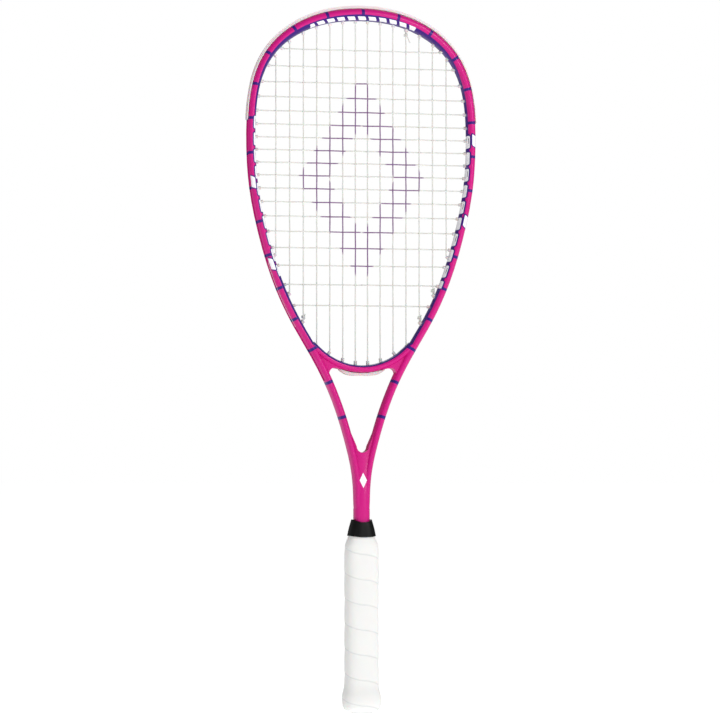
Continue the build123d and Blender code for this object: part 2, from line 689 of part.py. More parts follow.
def rim_cut(z, rise, half_width, away):
    """A block whose near side is an arc across X, rising by rise in the middle; away is its height."""
    left, right = (-half_width, 0, z), (half_width, 0, z)
    far_left, far_right = (-half_width, 0, z + away), (half_width, 0, z + away)
    arc = ThreePointArc(left, (0, 0, z + rise), right)
    face = Face(Wire([arc, Line(right, far_right), Line(far_right, far_left), Line(far_left, left)]))
    return extrude(face, 30, dir=(0, 1, 0), both=True)


def grip_collar():
    """Rubber collar over the tape's end; it can be pushed up the plain shaft."""
    collar = ruled_body(COLLAR_OUTSIDE) - ruled_body(COLLAR_INSIDE)
    collar -= shaft_bar(150, 200, COLLAR_CLEARANCE)
    foot, top = COLLAR_OUTSIDE[0], COLLAR_OUTSIDE[-1]
    collar -= rim_cut(top[0], -COLLAR_TOP_DIP, top[1] + 1, 5)
    return collar - rim_cut(foot[0] + COLLAR_FOOT_RISE, -COLLAR_FOOT_RISE, foot[1] + 1, -5)


RIGHT_STRIP = side_strip()
NODES = {
    "frame": frame(),
    "bridge_core": bridge_core(),
    "bumper_guard": bumper_guard(),
    "grommet_strip_left": mirrored(RIGHT_STRIP),
    "grommet_strip_right": RIGHT_STRIP,
    "grommet_strip_throat": throat_strip(),
    "main_string": main_string(),
    "cross_string": cross_string(),
    "handle_pallet": handle_pallet(),
    "shaft_plug": shaft_plug(),
    "butt_cap": butt_cap(),
    "butt_cap_staples": butt_cap_staples(),
    "grip_tape": grip_tape(),
    "finishing_tape": finishing_tape(),
    "grip_collar": grip_collar(),
}

os.makedirs("parts", exist_ok=True)
for name, shape in NODES.items():
    export_step(shape, f"parts/{name}.step")
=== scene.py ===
"""Squash racket: paint, materials, wound grip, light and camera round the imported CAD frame.

Metres, +Z from the butt to the head, X across the string face, -Y is the front.
"""
import math
from types import SimpleNamespace

import bpy
import numpy as np
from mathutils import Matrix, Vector
from mathutils.bvhtree import BVHTree


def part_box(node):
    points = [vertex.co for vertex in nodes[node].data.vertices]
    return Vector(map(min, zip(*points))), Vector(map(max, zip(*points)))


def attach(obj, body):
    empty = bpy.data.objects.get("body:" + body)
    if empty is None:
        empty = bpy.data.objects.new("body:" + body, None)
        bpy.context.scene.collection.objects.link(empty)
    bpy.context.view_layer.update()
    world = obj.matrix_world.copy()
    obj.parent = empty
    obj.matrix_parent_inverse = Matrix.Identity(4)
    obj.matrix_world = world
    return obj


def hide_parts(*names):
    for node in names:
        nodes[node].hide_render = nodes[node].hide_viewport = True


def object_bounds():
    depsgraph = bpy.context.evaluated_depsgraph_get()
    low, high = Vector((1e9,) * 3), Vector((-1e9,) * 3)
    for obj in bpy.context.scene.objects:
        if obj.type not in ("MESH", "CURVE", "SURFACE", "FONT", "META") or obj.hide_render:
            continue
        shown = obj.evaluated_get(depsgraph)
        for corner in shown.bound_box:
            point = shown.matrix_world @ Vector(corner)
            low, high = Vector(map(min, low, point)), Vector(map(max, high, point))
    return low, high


MM = 0.001

# ---- Colours, linear RGB ---------------------------------------------------------------------------------
MAGENTA = (0.685, 0.009, 0.25)
DEEP_MAGENTA = (0.51, 0.004, 0.165)
VIOLET = (0.045, 0.010, 0.20)
WHITE_PAINT = (0.95, 0.94, 0.98)
INK = (0.028, 0.012, 0.075)
STRING_WHITE = (0.74, 0.74, 0.70)
STRING_WORN = (0.60, 0.60, 0.56)
STENCIL = (0.17, 0.035, 0.21)
GUARD_NYLON = (0.84, 0.74, 0.75)
STRIP_NYLON = (0.58, 0.52, 0.52)
NYLON_SCUFFED = (0.85, 0.80, 0.80)
GRIP_WHITE = (0.86, 0.86, 0.84)
GRIP_WORN = (0.78, 0.78, 0.78)
# grey of the painted shade in the grip tape's seam grooves
GRIP_SEAM_SHADE = (0.46, 0.46, 0.48)
RUBBER_BLACK = (0.003, 0.003, 0.003)
RUBBER_DUSTY = (0.010, 0.010, 0.011)
FOAM = (0.62, 0.52, 0.33)
FOAM_DEEP = (0.35, 0.28, 0.16)
CAP_WHITE = (0.75, 0.75, 0.75)
CAP_SCUFFED = (0.55, 0.55, 0.56)
STEEL = (0.45, 0.45, 0.47)
STEEL_TARNISHED = (0.25, 0.24, 0.23)
TAPE_WHITE = (0.78, 0.78, 0.78)
TAPE_CREASED = (0.6, 0.6, 0.6)
FLOOR_WHITE = (0.9, 0.9, 0.9)
FLOOR_GREY = (0.88, 0.88, 0.88)
WHITE = (1.0, 1.0, 1.0)

# ---- Grain of the materials, noise cells in a metre ------------------------------------------------------
PAINT_SPECKLES = 1400.0
PAINT_CLOUDS = 22.0
NYLON_SCUFFS = 260.0
STRING_GRIME = 90.0
STENCIL_RAGS = 420.0
RUBBER_GRAIN = 2600.0
RUBBER_DUST = 120.0
GRIP_PEBBLES = 1500.0
GRIP_HANDLING = 45.0
FOAM_CELLS = 1100.0
CAP_GRAIN = 1800.0
CAP_SCUFFS = 150.0
STEEL_TARNISH = 500.0
TAPE_CRINKLES = 700.0
FLOOR_GRAIN = 3.0

# ---- Painted pattern on the frame, metres ----------------------------------------------------------------
EDGE_DEPTH = 4.9 * MM            # the frame's edges are sampled this far in front of its middle plane
EDGE_TURN = 1.5                  # in steps of this many degrees round the head
EDGE_STEP = 4 * MM               # and of this height below it
SHARP = 0.12 * MM                # half width of the soft edge of a painted shape
# Arc length from the top of the outer edge, and how many violet bands lie up to there.
BAND_MARKS = [(0, 0), (103.7 * MM, 3), (199.4 * MM, 6), (390.3 * MM, 12), (457.9 * MM, 14), (474 * MM, 14.45)]
BAND_PITCH = 32.7 * MM           # mean distance between two bands
BAND_HALF = 1.4 * MM             # half their width
BAND_REACH = 9.5 * MM            # how far they reach in from the outer edge
BAND_END_SOFT = 0.01
SIDES = (-1, 1)                  # left and right; values keyed so are for one side each
CROWN_ENDS = {-1: 546 * MM, 1: 532 * MM}    # heights where the violet crown ends
CROWN_END_SOFT = 0.3 * MM
CROWN_TOP_WIDTH = 4.3 * MM       # its width on the face, at the top and on both sides
CROWN_SIDE_WIDTH = {-1: 2.0 * MM, 1: 0.1 * MM}
CROWN_NARROWING = {-1: 1.0, 1: 0.7}    # share of its length over which it narrows
RIM_WIDTH = 1.7 * MM             # violet line along the inner edge below the panels, in the middle
RIM_LEAN = 0.015                 # how much wider it gets for each metre to the left
PANEL_RIM_WIDTH = {-1: 1.3 * MM, 1: 0.8 * MM}    # the same line among the panels
PANEL_RIM_DEPTH = {-1: 4.4 * MM, 1: -1.0 * MM}   # it lies at least this far from the middle plane
PANEL_RIM_SOFT = 0.4 * MM
BLOCK_HEIGHTS = {-1: (483 * MM, 408 * MM), 1: (525 * MM, 449.6 * MM)}    # of the white blocks
BLOCK_HALF = (5.2 * MM, 2.1 * MM)             # half their length and half their width
BLOCK_INSET = {-1: 1.9 * MM, 1: 2.0 * MM}     # of their middle from the outer edge
BLOCK_SLANT = {-1: -0.55, 1: 0.55}            # how far along an end moves for each millimetre inwards
BLOCK_CORNER = 1.0 * MM
FACE_NORMAL = 0.35               # the face is where the surface looks this much to the front or back
FACE_DEPTH = 4.7 * MM            # and lies at least this far from the middle plane
FACE_SOFT = 0.04
PANEL_PITCH = 15.6 * MM          # white panels along the inner edge of the sides
PANEL_HALF = (5.9 * MM, 1.35 * MM)
PANEL_INSET = {-1: 0.8 * MM, 1: -0.4 * MM}    # of their middle from the inner edge
PANEL_END = {-1: 396 * MM, 1: 386 * MM}       # height where they end
PANEL_CORNER = 1.2 * MM
PANEL_ZONE_SOFT = 0.2 * MM
PANEL_START = 3.6 * MM           # panels stay this far inside the outer edge
SLIT_SHIFT = 7 * MM              # thin dark slits in every second panel
SLIT_DEPTH = 5.8 * MM            # of their middle in front of or behind the middle plane
SLIT_HALF = (2.6 * MM, 0.5 * MM)
LINE_WIDTH = 1.1 * MM            # violet outline of the white shapes
CROWN_BAR_PITCH = 10.4 * MM      # slanted white bars on the crown
CROWN_BAR_HALF = (3.6 * MM, 1.35 * MM)
CROWN_BAR_CORNER = 0.3 * MM
CROWN_BAR_REACH = 54 * MM        # length of the row on each side of the top
CROWN_BAR_INSET = 1.1 * MM       # of their middle from the inner edge
CROWN_BAR_SLANT = 0.8
DIAMOND_HEIGHT = 212 * MM        # white diamond on the neck
DIAMOND_HALF = (3.4 * MM, 7.0 * MM)
DIAMOND_SOFT = 0.03

# ---- Strings and staples ---------------------------------------------------------------------------------
STENCIL_CENTRE = 488 * MM
STENCIL_HALF = (60 * MM, 97 * MM)
STENCIL_OPENING = 0.52           # size of the open middle, as a share of the whole
STENCIL_RAGGED = 0.05            # how far its edge wanders, as a share of its size
STENCIL_SOFT = 0.015
STRAND_PITCH = 0.42 * MM         # of the strands that show on a string
MAIN_TWIST = (1.0, 1.0, 0.35)    # how the strands lean on the main and on the cross string
CROSS_TWIST = (0.35, 1.0, 1.0)
DRAWING_PITCH = 0.12 * MM        # of the lines along the staple wire

# ---- Grip ------------------------------------------------------------------------------------------------
WRAP_PITCH = 22.9 * MM           # height between two seams
WRAP_PHASE = 150 * MM            # height of a seam at the left edge
WRAP_LIP = 0.34 * MM             # an overlapping edge stands this far out
WRAP_CROWN = 0.22 * MM           # the middle of a lap bulges this much
WRAP_SLOPE = 1.3 * MM            # height over which an edge rises
WRAP_ROWS = 340
WRAP_COLUMNS = 176
WRAP_THICKNESS = 1.5 * MM
WRAP_ENDS = 3 * MM               # the relief fades out over this height at both ends
HANDLE_POWER = 3.0               # of the superellipse that the handle's section is
PROFILE_LEVELS = 331             # the sleeve's section is measured at this many heights
PROFILE_BLUR = 7                 # and averaged over this many of them
PROFILE_MARGIN = 0.05 * MM       # the end levels are measured this far inside the sleeve

# ---- Camera and light ------------------------------------------------------------------------------------
CAMERA_AZIMUTH = -11.5
CAMERA_ELEVATION = -2.02
CAMERA_DISTANCE = 2.798
CAMERA_TARGET = (-0.00138, 0, 0.3222)
CAMERA_LENS = 152.6
CAMERA_RANGE = (0.05, 200)
FLOOR_RADIUS = 40.0
FLOOR_GLOW = 0.63                # keeps the far floor as white as the surroundings
SURROUND_LIGHT = 0.42            # brightness of the surroundings as a light
MIRRORED_LIGHT = 0.10            # and where a glossy surface mirrors them
# Name, position, width and height, and power of each lamp; all of them aim at the racket's middle.
LAMPS = [
    ("key", (1.25, -2.45, 1.4), (1.0, 1.8), 34),
    ("fill", (-1.9, -1.8, 0.7), (0.7, 1.6), 3.5),
    ("back", (0.6, 2.4, 1.6), (1.6, 1.6), 10),
]

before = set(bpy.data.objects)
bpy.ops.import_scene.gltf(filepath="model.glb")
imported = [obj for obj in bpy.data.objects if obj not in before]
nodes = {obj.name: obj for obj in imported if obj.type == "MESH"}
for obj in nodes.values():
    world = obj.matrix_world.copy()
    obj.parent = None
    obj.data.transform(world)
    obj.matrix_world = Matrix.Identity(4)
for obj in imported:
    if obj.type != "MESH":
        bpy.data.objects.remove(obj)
cad_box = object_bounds()


# ---- Node-tree helpers -----------------------------------------------------------------------------------
class Field:
    """A value in a material's node tree; arithmetic on it adds math nodes."""

    def __init__(self, tree, socket):
        self.tree = tree
        self.socket = socket

    def math(self, operation, *others):
        node = self.tree.nodes.new("ShaderNodeMath")
        node.operation = operation
        for i, value in enumerate((self, *others)):
            feed(self.tree, node.inputs[i], value)
        return Field(self.tree, node.outputs[0])

    def __add__(self, other):
        return self.math("ADD", other)

    def __sub__(self, other):
        return self.math("SUBTRACT", other)

    def __mul__(self, other):
        return self.math("MULTIPLY", other)

    def __truediv__(self, other):
        return self.math("DIVIDE", other)

    def size(self):
        return self.math("ABSOLUTE")

    def opposite(self):
        """1 where a mask is 0, and 0 where it is 1."""
        return self * -1.0 + 1.0

    def below(self, limit, soft=SHARP):
        """1 where the value is under the limit, 0 above, with a narrow soft edge."""
        node = self.tree.nodes.new("ShaderNodeMapRange")
        feed(self.tree, node.inputs["Value"], self - limit)
        node.inputs["From Min"].default_value = -soft
        node.inputs["From Max"].default_value = soft
        node.inputs["To Min"].default_value = 1.0
        node.inputs["To Max"].default_value = 0.0
        return Field(self.tree, node.outputs[0])

    def above(self, limit, soft=SHARP):
        return self.below(limit, soft).opposite()

    def either(self, other):
        return self.math("MAXIMUM", other)

    def both(self, other):
        return self.math("MINIMUM", other)

    def repeated(self, pitch):
        """Signed distance to the nearest multiple of pitch."""
        return self - (self / pitch).math("ROUND") * pitch


def feed(tree, socket, value):
    """Sets an input socket to a number or colour, or links a Field or an output socket to it."""
    if isinstance(value, Field):
        tree.links.new(value.socket, socket)
    elif isinstance(value, bpy.types.NodeSocket):
        tree.links.new(value, socket)
    elif isinstance(value, tuple):
        socket.default_value = (*value, 1.0)
    else:
        socket.default_value = value


def attribute(tree, name):
    node = tree.nodes.new("ShaderNodeAttribute")
    node.attribute_name = name
    return Field(tree, node.outputs["Fac"])


def components(tree, vector):
    """X, Y and Z of a vector socket, as Fields."""
    split = tree.nodes.new("ShaderNodeSeparateXYZ")
    tree.links.new(vector, split.inputs[0])
    return [Field(tree, output) for output in split.outputs]


def place(tree):
    """Socket with the shaded point in the racket's frame."""
    return tree.nodes.new("ShaderNodeTexCoord").outputs["Object"]


def facing(tree):
    """X, Y and Z of the surface's normal."""
    return components(tree, tree.nodes.new("ShaderNodeNewGeometry").outputs["Normal"])


def noise(tree, point, scale, detail=3.0, roughness=0.5):
    node = tree.nodes.new("ShaderNodeTexNoise")
    tree.links.new(point, node.inputs["Vector"])
    node.inputs["Scale"].default_value = scale
    node.inputs["Detail"].default_value = detail
    node.inputs["Roughness"].default_value = roughness
    return Field(tree, node.outputs["Fac"])


def mixed(tree, first, second, mask):
    """Colour that goes from first to second as the mask goes from 0 to 1."""
    node = tree.nodes.new("ShaderNodeMix")
    node.data_type = "RGBA"
    feed(tree, node.inputs["Factor"], mask)
    # The node's inputs 6 and 7 and its output 2 are the ones for colours.
    feed(tree, node.inputs[6], first)
    feed(tree, node.inputs[7], second)
    return node.outputs[2]


def cells(tree, point, scale):
    """Distance from the middle of the nearest cell."""
    node = tree.nodes.new("ShaderNodeTexVoronoi")
    tree.links.new(point, node.inputs["Vector"])
    node.inputs["Scale"].default_value = scale
    return Field(tree, node.outputs["Distance"])


def wave(field, pitch):
    """Ripple between -1 and 1 that repeats every pitch."""
    return (field * (2 * math.pi / pitch)).math("SINE")


def add_bump(tree, shader, height, distance, strength):
    node = tree.nodes.new("ShaderNodeBump")
    node.inputs["Strength"].default_value = strength
    node.inputs["Distance"].default_value = distance
    feed(tree, node.inputs["Height"], height)
    tree.links.new(node.outputs[0], shader.inputs["Normal"])


def new_material(name, **values):
    """A material with one Principled shader; an underscore in a value's name is a space in the input's."""
    material = bpy.data.materials.new(name)
    material.use_nodes = True
    tree = material.node_tree
    tree.nodes.clear()
    shader = tree.nodes.new("ShaderNodeBsdfPrincipled")
    output = tree.nodes.new("ShaderNodeOutputMaterial")
    tree.links.new(shader.outputs[0], output.inputs["Surface"])
    for key, value in values.items():
        feed(tree, shader.inputs[key.replace("_", " ")], value)
    return material, tree, shader


def dress(node, material):
    """Gives a CAD node this material on all its faces."""
    mesh = nodes[node].data
    if not mesh.materials:
        mesh.materials.append(material)
    for i in range(len(mesh.materials)):
        mesh.materials[i] = material


# ---- Where the paint goes --------------------------------------------------------------------------------
def ray_edge(tree, start, aim):
    """Where a ray from start towards aim first meets the frame, as x and z, or None."""
    hit = tree.ray_cast(Vector(start), (Vector(aim) - Vector(start)).normalized())[0]
    return None if hit is None else (hit.x, hit.z)


def polyline(points):
    return np.array([point for point in points if point is not None], float)


def arc_lengths(line):
    """Arc length at each of the line's points."""
    return np.concatenate([[0], np.cumsum(np.hypot(*np.diff(line, axis=0).T))])


def nearest(points, line):
    """Distance to the line and arc length along it, for each row of points."""
    arcs = arc_lengths(line)
    best = np.full(len(points), np.inf)
    along = np.zeros(len(points))
    for start, step, arc, length in zip(line[:-1], np.diff(line, axis=0), arcs[:-1], np.diff(arcs)):
        share = np.clip(((points - start) @ step) / (length * length), 0, 1)
        gap = points - (start + share[:, None] * step)
        distance = np.hypot(gap[:, 0], gap[:, 1])
        closer = distance < best
        best[closer] = distance[closer]
        along[closer] = (arc + share * length)[closer]
    return best, along


def outside(points, line, centre):
    """1 for each point outside the line round a centre on the axis, -1 for each one inside it."""
    spans = [(np.arctan2(rows[:, 0], rows[:, 1] - centre), np.hypot(rows[:, 0], rows[:, 1] - centre))
             for rows in (points, line)]
    (angle, radius), (line_angle, line_radius) = spans
    return np.where(radius < np.interp(angle, line_angle, line_radius), -1.0, 1.0)


def frame_edges(node, points):
    """Outer and inner edge of the frame's right half, and the height at which the frame is widest."""
    tree = BVHTree.FromObject(node, bpy.context.evaluated_depsgraph_get())
    widest = points[np.argmax(np.abs(points[:, 0])), 2]
    foot, reach = points[:, 2].min(), 2 * np.abs(points[:, 0]).max()
    centre = (0, -EDGE_DEPTH, widest)

    # The outer edge is met from outside, down to the frame's foot; the inner edge from the centre.
    def around(turn, radius):
        return radius * math.sin(turn), -EDGE_DEPTH, widest + radius * math.cos(turn)

    above = [ray_edge(tree, around(turn, reach), centre) for turn in np.radians(np.arange(0, 90, EDGE_TURN))]
    below = [ray_edge(tree, (reach, -EDGE_DEPTH, z), (0, -EDGE_DEPTH, z))
             for z in np.arange(widest, foot, -EDGE_STEP)]
    inner = [ray_edge(tree, centre, around(turn, 1)) for turn in np.radians(np.arange(0, 181, EDGE_TURN))]
    return polyline(above + below), polyline(inner), widest


def mark_frame(node):
    """Writes to each point of the frame its place along the outer edge and how far it is inside each edge."""
    mesh = node.data
    points = np.empty(len(mesh.vertices) * 3)
    mesh.vertices.foreach_get("co", points)
    points = points.reshape(-1, 3)
    outer, inner, widest = frame_edges(node, points)
    half = np.column_stack([np.abs(points[:, 0]), points[:, 2]])
    side = np.where(points[:, 0] < 0, -1.0, 1.0)
    from_outer, along = nearest(half, outer)
    from_outer *= -outside(half, outer, widest)
    from_inner = nearest(half, inner)[0] * outside(half, inner, widest)
    bands = np.interp(along, *zip(*BAND_MARKS))
    for name, values in (("along", along), ("bands", bands), ("side", side), ("from_outer", from_outer),
                         ("from_inner", from_inner)):
        mesh.attributes.new(name, "FLOAT", "POINT").data.foreach_set("value", values.astype(np.float32))
    return outer


def arc_at(outer, z):
    """Arc length at which the right half of the outer edge comes down to height z."""
    return float(np.interp(-z, -outer[:, 1], arc_lengths(outer)))


def rounded_box(u, v, half, corner):
    """Signed distance from a rectangle with rounded corners, u and v measured from its centre."""
    over_u = (u.size() - (half[0] - corner)).math("MAXIMUM", 0.0)
    over_v = (v.size() - (half[1] - corner)).math("MAXIMUM", 0.0)
    return (over_u * over_u + over_v * over_v).math("SQRT") - corner


def paint_fields(tree, outer):
    """Everything that the paint masks are worked out from, as Fields of one node tree."""
    point = place(tree)
    x, y, z = components(tree, point)
    side = attribute(tree, "side")
    right = side.above(0.0, 0.01)

    def by_side(values):
        return right.opposite() * values[-1] + right * values[1]

    faces_out = facing(tree)[1].size().above(FACE_NORMAL, FACE_SOFT)
    return SimpleNamespace(
        x=x, y=y, z=z, point=point, side=side, by_side=by_side,
        along=attribute(tree, "along"),
        bands=attribute(tree, "bands"),
        depth_out=attribute(tree, "from_outer"),
        depth_in=attribute(tree, "from_inner"),
        crown_arc=by_side({s: arc_at(outer, CROWN_ENDS[s]) for s in SIDES}),
        panel_arc=by_side({s: arc_at(outer, PANEL_END[s]) for s in SIDES}),
        on_face=faces_out.both(y.size().above(FACE_DEPTH)))


def crown_mask(f):
    """Violet over the inner part of the head, and a line along the inner edge below it."""
    fade = (f.along / (f.crown_arc * f.by_side(CROWN_NARROWING))).math("MINIMUM", 1.0)
    width = (f.by_side(CROWN_SIDE_WIDTH) - CROWN_TOP_WIDTH) * fade + CROWN_TOP_WIDTH
    in_crown = f.along.below(f.crown_arc, CROWN_END_SOFT)
    lower = f.depth_in.below(f.x * -RIM_LEAN + RIM_WIDTH).both(f.along.above(f.panel_arc))
    beside_panels = f.y.size().above(f.by_side(PANEL_RIM_DEPTH), PANEL_RIM_SOFT)
    line = f.depth_in.below(f.by_side(PANEL_RIM_WIDTH)).both(beside_panels).either(lower)
    return in_crown * f.depth_in.below(width) + in_crown.opposite() * line


def band_mask(f):
    """Narrow violet bands across the tube."""
    band = (f.bands.repeated(1.0).size() * BAND_PITCH).below(BAND_HALF)
    return band.both(f.bands.below(BAND_MARKS[-1][1], BAND_END_SOFT)).both(f.depth_out.below(BAND_REACH))


def block_distance(f, outer):
    """Distance from the slanted white blocks, two on each side."""
    slanted = f.along + f.depth_out * f.by_side(BLOCK_SLANT)
    inset = f.depth_out - f.by_side(BLOCK_INSET)

    def row_distance(row):
        arcs = {s: arc_at(outer, BLOCK_HEIGHTS[s][row]) + BLOCK_INSET[s] * BLOCK_SLANT[s] for s in SIDES}
        return rounded_box(slanted - f.by_side(arcs), inset, BLOCK_HALF, BLOCK_CORNER)

    return row_distance(0).both(row_distance(1))


def panel_distance(f):
    """Distance from the rounded white panels along the inner edge."""
    return rounded_box((f.along - f.crown_arc - PANEL_PITCH / 2).repeated(PANEL_PITCH),
                       f.depth_in - f.by_side(PANEL_INSET), PANEL_HALF, PANEL_CORNER)


def panel_zone(f):
    """1 on the inner side of the tube, from the crown's ends down to the last panel."""
    after_crown = f.along.above(f.crown_arc, PANEL_ZONE_SOFT)
    before_end = f.along.below(f.panel_arc, PANEL_ZONE_SOFT)
    return after_crown.both(before_end).both(f.depth_out.above(PANEL_START))


def slit_mask(f):
    """Thin dark slits in every second panel."""
    slits = rounded_box((f.along - f.crown_arc).repeated(PANEL_PITCH * 2) - SLIT_SHIFT,
                        f.y.size() - SLIT_DEPTH, SLIT_HALF, SLIT_HALF[1] / 2)
    return slits.below(0.0)


def bar_mask(f):
    """Row of slanted white bars on the crown."""
    bars = rounded_box((f.along * f.side + f.depth_in * CROWN_BAR_SLANT).repeated(CROWN_BAR_PITCH),
                       f.depth_in - CROWN_BAR_INSET, CROWN_BAR_HALF, CROWN_BAR_CORNER)
    return bars.below(0.0).both(f.along.below(CROWN_BAR_REACH))


def diamond_mask(f):
    """Small diamond on the neck's front."""
    size = f.x.size() / DIAMOND_HALF[0] + (f.z - DIAMOND_HEIGHT).size() / DIAMOND_HALF[1]
    return size.below(1.0, DIAMOND_SOFT).both(f.y.below(0.0))


def paint_material(outer):
    """Glossy magenta with violet bands and rims, white blocks on the face and white panels inside."""
    material, tree, shader = new_material("frame_paint", Coat_Weight=0.15, Coat_Roughness=0.12,
                                          Specular_IOR_Level=0.2)
    f = paint_fields(tree, outer)
    blocks, panels, zone = block_distance(f, outer), panel_distance(f), panel_zone(f)
    block_line = blocks.below(LINE_WIDTH).both(f.on_face)
    outlines = block_line.either(panels.below(LINE_WIDTH).both(zone))
    white = panels.below(0.0).both(zone).both(block_line.opposite())
    white = white.either(blocks.below(0.0).both(f.on_face)).either(bar_mask(f)).either(diamond_mask(f))

    speckle = noise(tree, f.point, PAINT_SPECKLES, detail=2.0)
    cloud = noise(tree, f.point, PAINT_CLOUDS, detail=3.0)
    colour = mixed(tree, MAGENTA, DEEP_MAGENTA, cloud * 0.5 + speckle * 0.25)
    colour = mixed(tree, colour, VIOLET, crown_mask(f).either(band_mask(f)).either(outlines))
    colour = mixed(tree, colour, WHITE_PAINT, white)
    colour = mixed(tree, colour, INK, slit_mask(f).both(zone))
    feed(tree, shader.inputs["Base Color"], colour)
    feed(tree, shader.inputs["Roughness"], cloud * 0.16 + speckle * 0.06 + 0.24)
    add_bump(tree, shader, speckle * 0.4 + cloud * 0.6, distance=0.03 * MM, strength=0.5)
    return material


# ---- Other materials -------------------------------------------------------------------------------------
def nylon_material(name, base):
    """Milky translucent nylon, a little scuffed."""
    material, tree, shader = new_material(name, IOR=1.5, Coat_Weight=0.2, Subsurface_Weight=0.4,
                                          Subsurface_Scale=1.5 * MM)
    scuff = noise(tree, place(tree), NYLON_SCUFFS, detail=5.0, roughness=0.65)
    feed(tree, shader.inputs["Base Color"], mixed(tree, base, NYLON_SCUFFED, scuff * 0.6))
    feed(tree, shader.inputs["Roughness"], scuff * 0.35 + 0.2)
    add_bump(tree, shader, scuff, distance=0.06 * MM, strength=0.5)
    return material


def string_material(name, twist):
    """Off-white multifilament string with a violet stencil; twist is how its outer wrap leans."""
    material, tree, shader = new_material(name, Coat_Weight=0.25, Subsurface_Weight=0.15,
                                          Subsurface_Scale=0.4 * MM)
    point = place(tree)
    x, y, z = components(tree, point)
    ragged = noise(tree, point, STENCIL_RAGS, detail=3.0)
    radius = x.size() / STENCIL_HALF[0] + (z - STENCIL_CENTRE).size() / STENCIL_HALF[1]
    radius = radius + (ragged - 0.5) * STENCIL_RAGGED
    stencil = radius.below(1.0, STENCIL_SOFT).both(radius.above(STENCIL_OPENING, STENCIL_SOFT))
    stencil = stencil * (ragged * 0.5 + 0.62)
    strands = wave(x * twist[0] + y * twist[1] + z * twist[2], STRAND_PITCH)
    grime = noise(tree, point, STRING_GRIME, detail=3.0)
    colour = mixed(tree, STRING_WHITE, STRING_WORN, grime * 0.55 + strands * 0.08)
    feed(tree, shader.inputs["Base Color"], mixed(tree, colour, STENCIL, stencil))
    feed(tree, shader.inputs["Roughness"], grime * 0.25 + 0.28)
    add_bump(tree, shader, strands, distance=0.02 * MM, strength=0.6)
    return material


def rubber_material():
    """Black moulded rubber with a fine satin grain and a little dust."""
    material, tree, shader = new_material("collar_rubber", Specular_IOR_Level=0.22)
    point = place(tree)
    grain = noise(tree, point, RUBBER_GRAIN, detail=3.0)
    dust = noise(tree, point, RUBBER_DUST, detail=4.0)
    feed(tree, shader.inputs["Base Color"], mixed(tree, RUBBER_BLACK, RUBBER_DUSTY, dust * 0.5))
    feed(tree, shader.inputs["Roughness"], dust * 0.3 + grain * 0.1 + 0.3)
    add_bump(tree, shader, grain, distance=0.04 * MM, strength=0.7)
    return material


def wrap_material():
    """White cushioned grip tape: pebbled, soft, with painted grey shade in the seam grooves."""
    material, tree, shader = new_material("grip_white", Specular_IOR_Level=0.3,
                                          Sheen_Weight=0.25, Sheen_Roughness=0.5,
                                          Subsurface_Weight=0.08, Subsurface_Scale=1.0 * MM)
    point = place(tree)
    pebbles = cells(tree, point, GRIP_PEBBLES)
    handling = noise(tree, point, GRIP_HANDLING, detail=4.0)
    seam = attribute(tree, "seam")
    colour = mixed(tree, GRIP_WHITE, GRIP_WORN, handling * 0.35)
    # painted grey shade in the seam grooves, weighted by the seam attribute
    feed(tree, shader.inputs["Base Color"], mixed(tree, colour, GRIP_SEAM_SHADE, seam * 0.5))
    feed(tree, shader.inputs["Roughness"], handling * 0.25 + pebbles * 0.15 + 0.45)
    add_bump(tree, shader, pebbles * 0.7 + handling * 0.3, distance=0.10 * MM, strength=0.5)
    return material


def foam_material():
    """Open-cell handle foam."""
    material, tree, shader = new_material("foam")
    depth = cells(tree, place(tree), FOAM_CELLS)
    feed(tree, shader.inputs["Base Color"], mixed(tree, FOAM, FOAM_DEEP, depth))
    feed(tree, shader.inputs["Roughness"], depth * 0.2 + 0.75)
    add_bump(tree, shader, depth, distance=0.2 * MM, strength=0.8)
    return material


def cap_material():
    """White moulded plastic with a fine spark-eroded grain."""
    material, tree, shader = new_material("cap_plastic")
    point = place(tree)
    grain = noise(tree, point, CAP_GRAIN, detail=2.0)
    scuff = noise(tree, point, CAP_SCUFFS, detail=5.0, roughness=0.7)
    feed(tree, shader.inputs["Base Color"], mixed(tree, CAP_WHITE, CAP_SCUFFED, scuff * 0.5))
    feed(tree, shader.inputs["Roughness"], scuff * 0.3 + 0.35)
    add_bump(tree, shader, grain, distance=0.03 * MM, strength=0.6)
    return material


def steel_material():
    """Bright staple wire with drawing lines along it."""
    material, tree, shader = new_material("staple_steel", Metallic=1.0)
    point = place(tree)
    lines = wave(components(tree, point)[2], DRAWING_PITCH)
    tarnish = noise(tree, point, STEEL_TARNISH, detail=4.0)
    feed(tree, shader.inputs["Base Color"], mixed(tree, STEEL, STEEL_TARNISHED, tarnish * 0.6))
    feed(tree, shader.inputs["Roughness"], tarnish * 0.3 + 0.2)
    add_bump(tree, shader, lines, distance=0.01 * MM, strength=0.5)
    return material


def tape_material():
    """Thin crinkled adhesive tape."""
    material, tree, shader = new_material("tape_white")
    crinkle = noise(tree, place(tree), TAPE_CRINKLES, detail=4.0, roughness=0.6)
    feed(tree, shader.inputs["Base Color"], mixed(tree, TAPE_WHITE, TAPE_CREASED, crinkle))
    feed(tree, shader.inputs["Roughness"], crinkle * 0.3 + 0.3)
    add_bump(tree, shader, crinkle, distance=0.05 * MM, strength=0.5)
    return material


